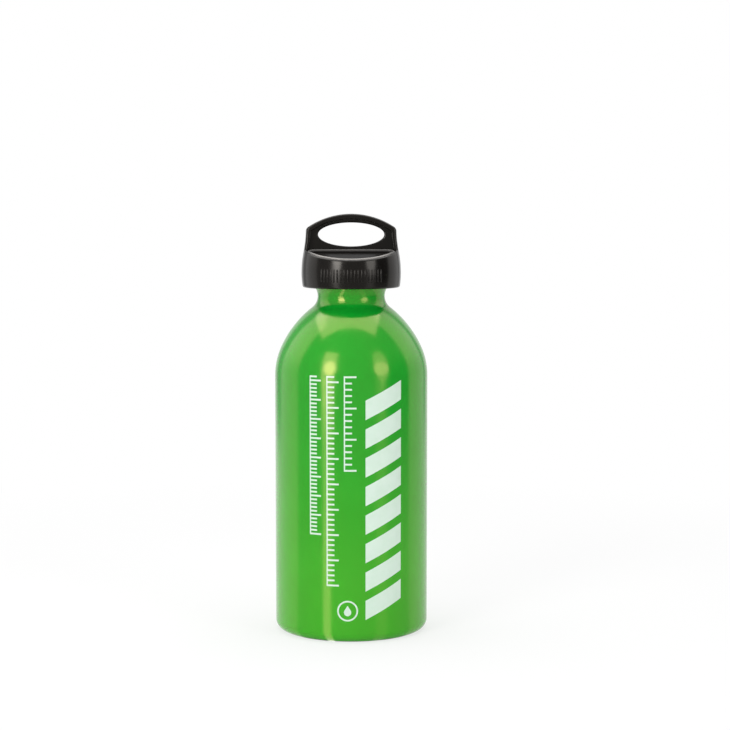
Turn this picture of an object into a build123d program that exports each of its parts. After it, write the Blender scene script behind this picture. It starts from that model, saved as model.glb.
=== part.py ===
from build123d import *
from math import atan2, cos, degrees, pi, radians, sin, sqrt, tan
import os

# Camping fuel bottle: a one-piece aluminium bottle with a push-and-turn closure.
# Millimetres, +Z up. The origin is the centre of the foot ring's resting plane. The handle of the
# cap lies in the XZ plane. Threads are left out: barrel and bore stand at the thread's two roots.

overrun = 5.0  # how far a cut runs past what it cuts

# Bottle shell, one piece of drawn aluminium
body_r = 37.0
wall = 0.9
base_corner_r = 4.9
foot_set_in = 10.0  # from the wall to the inner edge of the foot ring
dome_rise = 5.5  # how far the base is domed inwards at its centre
shoulder_z = 124.4  # top of the straight wall
shoulder_h_share = 1.8554  # from the wall's top to the neck's waist, over what the body is wider
shoulder_r_share = 1.6193  # lower, tighter arc of the shoulder, over the same
shoulder_turn_share = 0.434  # of the whole turn from the wall to the neck
neck_groove_r = 7.0  # the waist is one hollow arc
neck_flare = 27.7  # degrees past the waist, where the neck widens into the collar
waist_set_in = 1.55  # of the neck's waist under the collar
mouth_rise = 7.5  # from the waist to the mouth
mouth_w = 3.5  # from the bore, the inner thread's root, to the collar's outside
bore_foot_drop = 4.5  # the bore starts this far under the waist
lip_round = 0.8
lip_chamfer = 0.6

# Mouth seal, a flat rubber ring
seal_t = 1.6
seal_overhang = 0.4
seal_round = 0.4
seal_slip = 0.1  # radial room round the plug's land

# Threaded plug, the inner moulding
barrel_l = 11.9  # below the mouth
thread_room = 1.6  # between the roots of the two threads
land_slip = 0.9  # between the bore and the plain stretch that holds the seal
flange_overhang = 3.4  # past the bottle's collar
flange_t = 2.5
flange_round = 0.5
cup_wall = 1.8
cup_floor_t = 2.0
cup_chamfer = 0.6
barrel_chamfer = 0.8
pip_slip = 0.6  # radial room between the centring pip and the spring
pip_h = 2.2
vent_w = 2.4
vent_depth = 0.5
vent_count = 2

# Clutch lugs, a ring on the plug's flange and a ring under the cap's roof
lug_count = 12
lug_set_in = 4.7  # from the flange's edge to the middle of the lugs
lug_l = 4.2
lug_w_share = 0.37  # of the room that one lug has round the ring
lug_h = 1.6
lug_gap = 0.3  # what keeps the two rings out of mesh until the cap is pressed
lug_draft = 4.0

# Return spring, a steel coil
spring_room = 2.4  # round the spring, in the plug's cup
wire_r = 0.8
spring_turns = 5.5
end_pitch_share = 0.62  # pitch of the closing turns, as a share of the even pitch
spring_slip = 0.15  # end clearance

# Outer cap, one moulding with its handle
handle_root_r = 23.06  # half the handle's width at the roof: the whole closure follows it
handle_root_rise = 17.2
skirt_swell = 1.01  # how much wider the skirt is than the handle's root
skirt_tuck = 0.57  # how much the skirt draws in to its foot
skirt_wall = 2.47
cap_clearance = 0.4  # between the plug's flange and the skirt
skirt_drop = 3.3  # the skirt ends this far below the mouth
skirt_widest_rise = 6.9
skirt_foot_round = 1.0
skirt_inner_round = 0.6
bead_depth = 1.4  # snap bead under the plug's flange
bead_h = 1.2
bead_gap = 0.2
cap_h = 35.4
roof_rise = 18.2  # from the skirt's foot to the top of the roof, at the handle's face
handle_foot = 2.5  # spare length of the handle, under the roof, while it is shaped
roof_tilt = 13.5  # degrees, falling away from the handle to both sides
rim_w = 1.5
rim_round = 0.9
recess_depth = 0.8
recess_corner_r = 1.6
recess_round = 0.35
handle_t = 9.0
handle_side_r = 21.9
handle_side_overshoot = 1.0  # of the handle's side line, above the arch's ends
handle_corner_round = 2.4
handle_edge_round = 1.1
arch_h_share = 0.41  # the arch's rise from its ends, over the handle's height above the roof
flange_w = 2.5  # the handle's rim, all round its web
web_t = 3.0
pocket_corner_r = 1.6
pocket_edge_round = 0.5
eye_w_share = 0.809  # of the web's width at the same height
eye_foot_gap = 1.5  # between the eye and the roof
eye_head_gap = 4.2  # between the eye and the handle's top
eye_round = 0.8
well_clearance = 0.7  # round the spring, in the roof's underside
well_depth = 3.5

# Radii of the closure, from the skirt inwards, and of the neck that it fits
skirt_r = handle_root_r + skirt_swell
skirt_foot_r = skirt_r - skirt_tuck
skirt_in_r = skirt_r - skirt_wall
flange_r = skirt_in_r - cap_clearance
lug_mid_r = flange_r - lug_set_in
lug_w = lug_w_share * 2 * pi * lug_mid_r / lug_count
collar_r = flange_r - flange_overhang
neck_waist_r = collar_r - waist_set_in
bore_r = collar_r - mouth_w
land_r = bore_r - land_slip
barrel_r = bore_r - thread_room
cup_r = barrel_r - cup_wall
spring_r = cup_r - spring_room

# The bottle's neck and foot
shoulder_w = body_r - neck_waist_r
shoulder_r = shoulder_r_share * shoulder_w
neck_z = shoulder_z + shoulder_h_share * shoulder_w
mouth_z = neck_z + mouth_rise
foot_in_r = body_r - foot_set_in

# Vertical stack of the closure, from the mouth up
flange_z = mouth_z + seal_t
flange_top_z = flange_z + flange_t
roof_under_z = flange_top_z + 2 * lug_h + lug_gap
cup_floor_z = mouth_z - barrel_l + cup_floor_t
well_top_z = roof_under_z + well_depth
skirt_z = mouth_z - skirt_drop
handle_top_z = skirt_z + cap_h
roof_z = skirt_z + roof_rise
root_z = skirt_z + handle_root_rise

# The handle's arch, and the eye in its web
arch_h = arch_h_share * (cap_h - roof_rise)
arch_r = (handle_side_r**2 + arch_h**2) / (2 * arch_h)
corner_z = handle_top_z - arch_h + handle_side_overshoot
eye_h = cap_h - roof_rise - eye_foot_gap - eye_head_gap
eye_z = roof_z + eye_foot_gap + eye_h / 2
side_slope = (handle_side_r - handle_root_r) / (corner_z - root_z)
eye_w = 2 * eye_w_share * (handle_root_r + side_slope * (eye_z - root_z) - flange_w)


# The shoulder is two arcs that meet smoothly, and the second one runs smoothly into the neck's
# hollow arc. Its radius follows from where the first ends and where the hollow's centre lies.
shoulder_turn = shoulder_turn_share * 2 * atan2(shoulder_w, neck_z - shoulder_z)
groove_centre_r = neck_waist_r + neck_groove_r
first_end_r = body_r - shoulder_r * (1 - cos(shoulder_turn))
first_end_z = shoulder_z + shoulder_r * sin(shoulder_turn)
off_r = first_end_r - groove_centre_r
off_z = first_end_z - neck_z
along = off_r * cos(shoulder_turn) + off_z * sin(shoulder_turn)
crown_r = (off_r**2 + off_z**2 - neck_groove_r**2) / (2 * (along + neck_groove_r))
crown_centre_r = first_end_r - crown_r * cos(shoulder_turn)
crown_centre_z = first_end_z - crown_r * sin(shoulder_turn)
neck_turn = atan2(neck_z - crown_centre_z, groove_centre_r - crown_centre_r)
inner_foot_r = sqrt(foot_in_r**2 + 2 * wall * dome_rise)

with BuildPart() as bottle_shell:
    with BuildSketch(Plane.XZ):
        with BuildLine():
            dome = TangentArc((0, dome_rise), (foot_in_r, 0), tangent=(1, 0))
            foot = Line(dome @ 1, (body_r - base_corner_r, 0))
            corner = JernArc(foot @ 1, (1, 0), base_corner_r, 90)
            side = Line(corner @ 1, (body_r, shoulder_z))
            lower = JernArc(side @ 1, (0, 1), shoulder_r, degrees(shoulder_turn))
            crown = JernArc(lower @ 1, lower % 1, crown_r, degrees(neck_turn - shoulder_turn))
            waist = JernArc(crown @ 1, crown % 1, neck_groove_r, -degrees(neck_turn) - neck_flare)
            collar_rise = (collar_r - (waist @ 1).X) / tan(radians(neck_flare))
            flare = Line(waist @ 1, (collar_r, (waist @ 1).Y + collar_rise))
            collar = Line(flare @ 1, (collar_r, mouth_z))
            mouth = Line(collar @ 1, (bore_r, mouth_z))
            bore = Line(mouth @ 1, (bore_r, neck_z - bore_foot_drop))
            inner_first = JernArc(
                (body_r - wall, shoulder_z), (0, 1), shoulder_r - wall, degrees(shoulder_turn)
            )
            TangentArc(inner_first @ 1, bore @ 1, tangent=inner_first % 1)
            inner_side = Line(inner_first @ 0, (body_r - wall, base_corner_r))
            inner_corner = JernArc(inner_side @ 1, (0, -1), base_corner_r - wall, -90)
            inner_foot = Line(inner_corner @ 1, (inner_foot_r, wall))
            TangentArc((0, dome_rise + wall), inner_foot @ 1, tangent=(1, 0))
            Line((0, dome_rise + wall), (0, dome_rise))
        make_face()
    revolve(axis=Axis.Z)
    collar_edges = bottle_shell.edges().filter_by(GeomType.CIRCLE).filter_by_position(
        Axis.Z, neck_z, mouth_z, inclusive=(False, False)
    )
    fillet(collar_edges.sort_by(SortBy.RADIUS)[-1], radius=lip_round)
    mouth_edges = bottle_shell.edges().group_by(Axis.Z)[-1].sort_by(SortBy.RADIUS)
    fillet(mouth_edges[-1], radius=lip_round)
    chamfer(mouth_edges[0], length=lip_chamfer)
bottle_shell.part.label = "bottle_shell"

with BuildPart() as mouth_seal:
    with BuildSketch(Plane.XY.offset(mouth_z)):
        Circle(collar_r + seal_overhang)
        Circle(land_r + seal_slip, mode=Mode.SUBTRACT)
    extrude(amount=seal_t)
    fillet(mouth_seal.edges().filter_by(GeomType.CIRCLE), radius=seal_round)
mouth_seal.part.label = "mouth_seal"

with BuildPart() as threaded_plug:
    with BuildSketch(Plane.XY.offset(mouth_z - barrel_l)):
        Circle(barrel_r)
    extrude(amount=barrel_l)
    chamfer(threaded_plug.edges().group_by(Axis.Z)[0], length=barrel_chamfer)
    with BuildSketch(Plane.XY.offset(mouth_z)):
        Circle(land_r)
    extrude(amount=seal_t)
    with BuildSketch(Plane.XY.offset(flange_z)):
        Circle(flange_r)
    extrude(amount=flange_t)
    flange_edges = threaded_plug.edges().filter_by(GeomType.CIRCLE).sort_by(SortBy.RADIUS)[-2:]
    fillet(flange_edges, radius=flange_round)
    with BuildSketch(Plane.XY.offset(cup_floor_z)):
        Circle(cup_r)
    extrude(amount=flange_top_z - cup_floor_z, mode=Mode.SUBTRACT)
    chamfer(
        threaded_plug.edges().group_by(Axis.Z)[-1].sort_by(SortBy.RADIUS)[0], length=cup_chamfer
    )
    with BuildSketch(Plane.XY.offset(cup_floor_z)):
        Circle(spring_r - 2 * wire_r - pip_slip)
    extrude(amount=pip_h)
    with BuildSketch(Plane.XY.offset(mouth_z - barrel_l)):
        with PolarLocations(barrel_r, vent_count):
            Rectangle(2 * vent_depth, vent_w)
    extrude(amount=barrel_l, mode=Mode.SUBTRACT)
    with BuildSketch(Plane.XY.offset(flange_top_z)):
        with PolarLocations(lug_mid_r, lug_count):
            Rectangle(lug_l, lug_w)
    extrude(amount=lug_h, taper=lug_draft)
threaded_plug.part.label = "threaded_plug"


# The spring's axis line climbs evenly but for its first and last turn, which close up. Each quarter
# turn is two arcs that meet smoothly.
coil_r = spring_r - wire_r
spring_foot_z = cup_floor_z + spring_slip
spring_l = well_top_z - spring_slip - spring_foot_z
even_pitch = spring_l / (spring_turns - 2 + 2 * end_pitch_share)
quarter_turn = 1 / 4
print("least gap between the spring's turns", round(end_pitch_share * even_pitch - 2 * wire_r, 2))


def coil_height(turns):
    closing = min(turns, 1) + max(turns - (spring_turns - 1), 0)
    return spring_foot_z + even_pitch * (turns - (1 - end_pitch_share) * closing)


def coil_point(turns):
    angle = 2 * pi * turns
    return Vector(coil_r * cos(angle), coil_r * sin(angle), coil_height(turns))


def coil_direction(turns):
    low = max(turns - quarter_turn, 0)
    high = min(turns + quarter_turn, spring_turns)
    climb = (coil_height(high) - coil_height(low)) / (high - low)
    angle = 2 * pi * turns
    flat = 2 * pi * coil_r
    return Vector(-flat * sin(angle), flat * cos(angle), climb).normalized()


with BuildPart() as return_spring:
    with BuildLine() as coil:
        for quarter in range(round(spring_turns / quarter_turn)):
            from_turn = quarter * quarter_turn
            to_turn = from_turn + quarter_turn
            start = coil_point(from_turn)
            end = coil_point(to_turn)
            leave = coil_direction(from_turn)
            arrive = coil_direction(to_turn)
            chord = end - start
            swing = chord.dot(leave + arrive)
            spare = 2 * (1 - leave.dot(arrive))
            reach = (sqrt(swing**2 + spare * chord.dot(chord)) - swing) / spare
            middle = (start + end + (leave - arrive) * reach) / 2
            first_arc = TangentArc(start, middle, tangent=leave)
            TangentArc(middle, end, tangent=first_arc % 1)
    with BuildSketch(Plane(origin=coil_point(0), z_dir=coil_direction(0))):
        Circle(wire_r)
    sweep(path=coil.line)
    # Both ends are ground flat, so the spring stands square.
    for ground_z, keep in ((spring_foot_z, Keep.TOP), (spring_foot_z + spring_l, Keep.BOTTOM)):
        split(bisect_by=Plane.XY.offset(ground_z), keep=keep)
return_spring.part.label = "return_spring"


widest_z = skirt_z + skirt_widest_rise
bead_top_z = flange_z - bead_gap
bead_in_r = skirt_in_r - bead_depth
well_r = spring_r + well_clearance
handle_half_t = handle_t / 2
web_half_t = web_t / 2
fall = sin(radians(roof_tilt))
rise = cos(radians(roof_tilt))
front_roof = Plane((0, -handle_half_t, roof_z), x_dir=(1, 0, 0), z_dir=(0, -fall, rise))
rear_roof = Plane((0, handle_half_t, roof_z), x_dir=(1, 0, 0), z_dir=(0, fall, rise))

# What one roof face is hollowed by: a D that keeps an even bead inside the cap's edge.
with BuildPart() as roof_recess:
    with BuildSketch(Plane.XY.offset(widest_z)):
        Circle(handle_root_r - rim_w)
        with Locations((0, -handle_half_t - rim_w)):
            Rectangle(2 * skirt_r, 2 * skirt_r, align=(Align.CENTER, Align.MAX), mode=Mode.INTERSECT)
    extrude(amount=cap_h)
    fillet(roof_recess.edges().filter_by(Axis.Z), radius=recess_corner_r)
    split(bisect_by=front_roof.offset(-recess_depth), keep=Keep.TOP)

# The turned form that the skirt and the outside of the handle share
with BuildSketch(Plane.XZ) as turned:
    with BuildLine():
        foot_line = Line((0, skirt_z), (skirt_foot_r, skirt_z))
        TangentArc((skirt_r, widest_z), foot_line @ 1, tangent=(0, -1))
        taper_in = TangentArc((skirt_r, widest_z), (handle_root_r, root_z), tangent=(0, 1))
        handle_side = TangentArc(taper_in @ 1, (handle_side_r, corner_z), tangent=taper_in % 1)
        upper = Line(handle_side @ 1, (handle_side_r, handle_top_z))
        Polyline(upper @ 1, (0, handle_top_z), (0, skirt_z))
    make_face()

with BuildPart() as handle:
    revolve(turned.sketch, axis=Axis.Z)
    with BuildSketch(Plane.XZ):
        with Locations((0, handle_top_z - arch_r)):
            Circle(arch_r)
        with Locations((0, roof_z - handle_foot)):
            Rectangle(2 * arch_r, cap_h, align=(Align.CENTER, Align.MIN), mode=Mode.INTERSECT)
    extrude(amount=handle_half_t, both=True, mode=Mode.INTERSECT)
    arch_ends = handle.faces().sort_by(Axis.Z)[-1].edges().sort_by(Axis.X)
    fillet((arch_ends[0], arch_ends[-1]), radius=handle_corner_round)
    for side in (1, -1):
        face = handle.faces().filter_by(Plane.XZ).sort_by(Axis.Y)[-1 if side > 0 else 0]
        fillet(face.edges().sort_by(Axis.Z)[1:], radius=handle_edge_round)
    # The web is set back from the handle's rim on both faces, with an oval eye through it
    for side in (1, -1):
        with BuildSketch(Plane.XZ.offset(side * web_half_t)) as pocket:
            with BuildLine():
                floor_line = Line((0, root_z), (handle_root_r - flange_w, root_z))
                web_corner = (handle_side_r - flange_w, corner_z)
                web_side = TangentArc(floor_line @ 1, web_corner, tangent=taper_in % 1)
                above = Polyline(web_corner, (web_corner[0], handle_top_z), (0, handle_top_z))
                mirror((floor_line, web_side, above), about=Plane.YZ)
            make_face()
            with Locations((0, handle_top_z - arch_r)):
                Circle(arch_r - flange_w, mode=Mode.INTERSECT)
            fillet(pocket.vertices().group_by(Axis.Y)[-1], radius=pocket_corner_r)
        extrude(amount=side * handle_t, mode=Mode.SUBTRACT)
    with BuildSketch(Plane.XZ):
        with Locations((0, eye_z)):
            Ellipse(eye_w / 2, eye_h / 2)
    extrude(amount=handle_t, both=True, mode=Mode.SUBTRACT)
    for place, rounding in enumerate((pocket_edge_round, eye_round, eye_round, pocket_edge_round)):
        face = handle.faces().filter_by(Plane.XZ).sort_by(Axis.Y)[place]
        fillet(face.inner_wires()[0].edges(), radius=rounding)
    # Its foot ends where the flat strip between the two roof faces carries it
    split(bisect_by=Plane.XY.offset(roof_z), keep=Keep.TOP)

with BuildPart() as outer_cap:
    revolve(turned.sketch, axis=Axis.Z)
    # Seen from the side the roof falls away from both of the handle's faces
    with BuildSketch(Plane.YZ):
        with BuildLine():
            half_roof = Polyline(
                (0, roof_z),
                (-handle_half_t, roof_z),
                (-2 * skirt_r, roof_z - (2 * skirt_r - handle_half_t) * tan(radians(roof_tilt))),
                (-2 * skirt_r, handle_top_z + overrun),
                (0, handle_top_z + overrun),
            )
            mirror(half_roof, about=Plane.YZ)
        make_face()
    extrude(amount=2 * skirt_r, both=True, mode=Mode.SUBTRACT)
    for roof in (front_roof, rear_roof):
        roof_face = outer_cap.faces().filter_by(roof)[0]
        fillet(roof_face.edges().sort_by(SortBy.LENGTH)[-1], radius=rim_round)
    add(roof_recess.part, mode=Mode.SUBTRACT)
    mirror(roof_recess.part, about=Plane.XZ, mode=Mode.SUBTRACT)
    for roof in (front_roof, rear_roof):
        beaded_face = outer_cap.faces().filter_by(roof).filter_by(lambda face: face.inner_wires())[0]
        fillet(beaded_face.inner_wires()[0].edges(), radius=recess_round)
    # Inside: the bore with its snap bead, and the well that the spring stands up into
    with BuildSketch(Plane.XZ):
        with BuildLine():
            Polyline(
                (0, skirt_z - overrun),
                (skirt_in_r, skirt_z - overrun),
                (skirt_in_r, bead_top_z - bead_h - bead_depth),
                (bead_in_r, bead_top_z - bead_h),
                (bead_in_r, bead_top_z),
                (skirt_in_r, bead_top_z),
                (skirt_in_r, roof_under_z),
                (well_r, roof_under_z),
                (well_r, well_top_z),
                (0, well_top_z),
                close=True,
            )
        make_face()
    revolve(axis=Axis.Z, mode=Mode.SUBTRACT)
    skirt_edges = outer_cap.edges().group_by(Axis.Z)[0].sort_by(SortBy.RADIUS)
    fillet(skirt_edges[-1], radius=skirt_foot_round)
    fillet(skirt_edges[0], radius=skirt_inner_round)
    with BuildSketch(Plane.XY.offset(roof_under_z)):
        with PolarLocations(lug_mid_r, lug_count, start_angle=180 / lug_count):
            Rectangle(lug_l, lug_w)
    extrude(amount=-lug_h, taper=lug_draft)
    add(handle.part)
outer_cap.part.label = "outer_cap"

os.makedirs("parts", exist_ok=True)
for piece in (bottle_shell, mouth_seal, threaded_plug, return_spring, outer_cap):
    export_step(piece.part, "parts/" + piece.part.label + ".step")
    print(piece.part.label, round(piece.part.volume), piece.part.is_valid)
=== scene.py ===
import bpy
from math import asin, atan2, cos, degrees, hypot, pi, radians, sin, sqrt, tan
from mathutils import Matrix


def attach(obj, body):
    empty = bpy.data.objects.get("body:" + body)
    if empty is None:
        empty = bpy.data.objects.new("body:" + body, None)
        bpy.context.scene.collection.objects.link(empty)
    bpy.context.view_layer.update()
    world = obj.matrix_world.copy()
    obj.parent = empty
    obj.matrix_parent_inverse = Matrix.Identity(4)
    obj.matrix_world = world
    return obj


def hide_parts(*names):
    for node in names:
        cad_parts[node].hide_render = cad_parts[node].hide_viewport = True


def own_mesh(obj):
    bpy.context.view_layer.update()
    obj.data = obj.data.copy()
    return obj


# A camping fuel bottle: green lacquered aluminium, black push-and-turn cap with a carrying handle.
# Blender works in metres. The pieces' sizes are in millimetres and go through mm, the stage's are in metres.
mm = 0.001
mergeReach = 0.0005 * mm  # points closer than this are one

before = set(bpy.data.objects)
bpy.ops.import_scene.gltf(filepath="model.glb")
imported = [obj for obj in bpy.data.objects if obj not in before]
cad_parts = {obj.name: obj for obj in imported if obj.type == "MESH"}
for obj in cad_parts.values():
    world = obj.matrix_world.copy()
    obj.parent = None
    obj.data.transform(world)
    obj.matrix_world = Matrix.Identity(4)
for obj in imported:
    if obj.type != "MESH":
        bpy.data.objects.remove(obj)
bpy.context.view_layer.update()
print("stage: frame loaded, nodes", sorted(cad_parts))


# Node trees

class Wire:
    # one output of a node; the usual operators add the node that works them out
    def __init__(self, tree, socket):
        self.tree, self.socket = tree, socket

    def add(self, kind, settings, sockets, out=0):
        return addNode(self.tree, kind, settings, sockets, out)

    def maths(self, operation, *others):
        return self.add("ShaderNodeMath", {"operation": operation}, dict(enumerate((self, *others))))

    def vector(self, operation, *others, out=0):
        sockets = dict(enumerate((self, *others)))
        return self.add("ShaderNodeVectorMath", {"operation": operation}, sockets, out)

    def __add__(self, other):
        return self.maths("ADD", other)

    def __sub__(self, other):
        return self.maths("SUBTRACT", other)

    def __rsub__(self, other):
        return addNode(self.tree, "ShaderNodeMath", {"operation": "SUBTRACT"}, {0: other, 1: self})

    def __mul__(self, other):
        return self.maths("MULTIPLY", other)

    def __truediv__(self, other):
        return self.maths("DIVIDE", other)

    def __rtruediv__(self, other):
        return addNode(self.tree, "ShaderNodeMath", {"operation": "DIVIDE"}, {0: other, 1: self})

    __radd__ = __add__
    __rmul__ = __mul__

    def ramp(self, low, high, fromValue=0.0, toValue=1.0):
        # goes smoothly from one value to the other while this one goes from low to high
        sockets = {"Value": self, "From Min": low, "From Max": high, "To Min": fromValue, "To Max": toValue}
        return self.add("ShaderNodeMapRange", {"interpolation_type": "SMOOTHSTEP"}, sockets)

    def blend(self, start, end):
        # a colour between two, by this factor
        return self.add("ShaderNodeMix", {"data_type": "RGBA"}, {0: self, 6: start, 7: end}, 2)

    def part(self, axis):
        return self.add("ShaderNodeSeparateXYZ", {}, {0: self}, axis)

    def length(self):
        return self.vector("LENGTH", out=1)

    def joined(self, x, y, z):
        # a vector in this wire's tree, of numbers or other wires
        return self.add("ShaderNodeCombineXYZ", {}, {0: x, 1: y, 2: z})


def addNode(tree, kind, settings, sockets, out=0):
    node = tree.nodes.new(kind)
    for name, value in settings.items():
        setattr(node, name, value)
    for key, value in sockets.items():
        if isinstance(value, Wire):
            tree.links.new(value.socket, node.inputs[key])
        else:
            node.inputs[key].default_value = value
    return Wire(tree, node.outputs[out])


# Geometry trees

socketTypes = {"geometry": "NodeSocketGeometry", "number": "NodeSocketFloat", "count": "NodeSocketInt",
               "material": "NodeSocketMaterial"}


def newGeometryTree(name, inputs):
    # a tree with named inputs, and the wires that come out of them
    tree = bpy.data.node_groups.new(name, "GeometryNodeTree")
    tree.interface.new_socket(name="Geometry", in_out="OUTPUT", socket_type=socketTypes["geometry"])
    for label, kind in inputs.items():
        tree.interface.new_socket(name=label, in_out="INPUT", socket_type=socketTypes[kind])
    start = tree.nodes.new("NodeGroupInput")
    return tree, {label: Wire(tree, start.outputs[label]) for label in inputs}


def closeGeometryTree(tree, shape, material=None):
    done = shape.add("GeometryNodeRealizeInstances", {}, {"Geometry": shape})
    if material is not None:
        done = done.add("GeometryNodeSetMaterial", {}, {"Geometry": done, "Material": material})
    end = tree.nodes.new("NodeGroupOutput")
    tree.links.new(done.socket, end.inputs[0])


creaseAngle = 32.0  # edges that turn by more stay sharp


def grow(name, tree, values, start=None):
    # runs a tree on a mesh and keeps what comes out as a plain mesh
    piece = bpy.data.objects.new(name, start or bpy.data.meshes.new(name + "Start"))
    bpy.context.scene.collection.objects.link(piece)
    modifier = piece.modifiers.new("grow", "NODES")
    modifier.node_group = tree
    for item in tree.interface.items_tree:
        if item.in_out == "INPUT" and item.name in values:
            modifier[item.identifier] = values[item.name]
    made = bpy.data.meshes.new_from_object(piece.evaluated_get(bpy.context.evaluated_depsgraph_get()))
    piece.modifiers.remove(modifier)
    piece.data = made
    made.name = name
    if made.materials and made.materials[0] is None:
        made.materials.pop(index=0)
    made.shade_smooth()
    made.set_sharp_from_angle(angle=radians(creaseAngle))
    return piece


def joinPieces(name, pieces):
    # several pieces of one body as one mesh
    bpy.ops.object.select_all(action="DESELECT")
    for piece in pieces:
        piece.select_set(True)
    bpy.context.view_layer.objects.active = pieces[0]
    bpy.ops.object.join()
    pieces[0].name = pieces[0].data.name = name
    return pieces[0]


def position(wire):
    return wire.add("GeometryNodeInputPosition", {}, {})


def moved(shape, **how):
    # a shape with its points set to Position, or shifted by Offset
    return shape.add("GeometryNodeSetPosition", {}, {"Geometry": shape, **how})


def merged(shape):
    return shape.add("GeometryNodeMergeByDistance", {}, {"Geometry": shape, "Distance": mergeReach})


def rowOf(shape, count, start, step, **how):
    # a shape set down count times, a step apart; how turns or scales each
    spots = {"Count": count, "Start Location": start, "Offset": step}
    line = shape.add("GeometryNodeMeshLine", {"mode": "OFFSET"}, spots)
    return line.add("GeometryNodeInstanceOnPoints", {}, {"Points": line, "Instance": shape, **how})


def sweptGrid(profile, points, columns):
    # a sheet with a column for each place that a profile takes; for its points, the number of the column
    # and the point of the profile that belongs there
    grid = points.add("GeometryNodeMeshGrid", {}, {"Vertices X": columns, "Vertices Y": points})
    index = points.add("GeometryNodeInputIndex", {}, {})
    column = (index / points).maths("FLOOR")
    spot = points.add("GeometryNodeSampleIndex", {"data_type": "FLOAT_VECTOR"}, {
        "Geometry": profile, "Value": position(points), "Index": index - column * points})
    return grid, column, spot


wallInputs = {"Widest Radius": "number", "Widest Height": "number", "Bend Above": "number",
              "Bend Below": "number"}


def drawnIn(past, bend):
    # how far an arc has left its tangent, past the point where they touch
    return past * past / (bend + (bend * bend - past * past).maths("SQRT"))


def wrapRound(shape, given):
    # bends a flat layout round the axis: x runs round, y up, and z out from a wall that is widest at one
    # height and curves in above and below it
    place = position(shape)
    beyond = place.part(1) - given["Widest Height"]
    drop = drawnIn(beyond.maths("MAXIMUM", 0.0), given["Bend Above"])
    drop = drop + drawnIn(beyond.maths("MINIMUM", 0.0), given["Bend Below"])
    radius = given["Widest Radius"] - drop + place.part(2)
    angle = place.part(0) / given["Widest Radius"]
    bent = shape.joined(radius * angle.maths("SINE"), radius * angle.maths("COSINE") * -1, place.part(1))
    return moved(shape, Position=bent)


def coiledTree():
    # a closed profile carried along a helix; both ends are drawn to a point over the end columns
    tree, given = newGeometryTree("coiledForm", {
        "Profile": "geometry", "Points": "count", "Columns": "count", "End Columns": "count",
        "Turns": "number", "Start Turn": "number", "Start Height": "number", "Pitch": "number",
        "Radius": "number", "Closing Share": "number", "Low": "number", "High": "number",
        "Copies": "count", "Copy Turn": "number", "Material": "material"})
    columns, turns = given["Columns"], given["Turns"]
    grid, column, spot = sweptGrid(given["Profile"], given["Points"], columns)
    along = ((column - 1) / (columns - 3)).maths("MAXIMUM", 0.0).maths("MINIMUM", 1.0) * turns
    full = (column.maths("MINIMUM", columns - 1 - column) / given["End Columns"]).maths("MINIMUM", 1.0)
    full = (full * (pi / 2)).maths("SINE")
    closing = along.maths("MINIMUM", 1.0) + (along - (turns - 1)).maths("MAXIMUM", 0.0)
    rise = given["Pitch"] * (along - given["Closing Share"] * closing)
    height = given["Start Height"] + rise + spot.part(2) * full
    height = height.maths("MAXIMUM", given["Low"]).maths("MINIMUM", given["High"])
    radius = given["Radius"] + spot.part(0) * full
    angle = (along + given["Start Turn"]) * (2 * pi)
    wound = grid.joined(radius * angle.maths("COSINE"), radius * angle.maths("SINE"), height)
    coil = merged(moved(grid, Position=wound))
    step = coil.joined(0, 0, given["Pitch"] * given["Copy Turn"])
    number = coil.add("GeometryNodeInputIndex", {}, {})
    twist = coil.joined(0, 0, number * given["Copy Turn"] * (2 * pi))
    copies = rowOf(coil, given["Copies"], (0, 0, 0), step, Rotation=twist)
    closeGeometryTree(tree, copies, given["Material"])
    return tree


def stripesTree():
    # a ladder of stripes, every so many of them longer, slanted if wished and wrapped on a wall
    tree, given = newGeometryTree("stripeLadder", {
        "Count": "count", "Pitch": "number", "Thick": "number", "Short": "number", "Long": "number",
        "Long Every": "count", "Slope": "number", "Left": "number", "Foot": "number", "Sunk": "number",
        "Raised": "number", "Steps Across": "count", "Steps Up": "count", **wallInputs,
        "Material": "material"})
    count, every = given["Count"], given["Long Every"]
    bar = count.add("GeometryNodeMeshCube", {}, {
        "Size": (1, 1, 1), "Vertices X": given["Steps Across"], "Vertices Y": given["Steps Up"],
        "Vertices Z": 2})
    bar = bar.add("GeometryNodeTransform", {}, {"Geometry": bar, "Translation": (0.5, 0, 0)})
    number = count.add("GeometryNodeInputIndex", {}, {})
    isLong = (number - (number / every).maths("FLOOR") * every).maths("LESS_THAN", 0.5)
    across = given["Short"] + isLong * (given["Long"] - given["Short"])
    size = count.joined(across, given["Thick"], given["Raised"] + given["Sunk"])
    start = count.joined(given["Left"], given["Foot"], (given["Raised"] - given["Sunk"]) / 2)
    ladder = rowOf(bar, count, start, count.joined(0, given["Pitch"], 0), Scale=size)
    real = ladder.add("GeometryNodeRealizeInstances", {}, {"Geometry": ladder})
    lean = (position(count).part(0) - given["Left"]) * given["Slope"]
    leaning = moved(real, Offset=count.joined(0, lean, 0))
    closeGeometryTree(tree, wrapRound(leaning, given), given["Material"])
    return tree


def wrappedTree():
    tree, given = newGeometryTree("wrappedShape", {"Flat": "geometry", **wallInputs, "Material": "material"})
    closeGeometryTree(tree, wrapRound(merged(given["Flat"]), given), given["Material"])
    return tree


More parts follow.
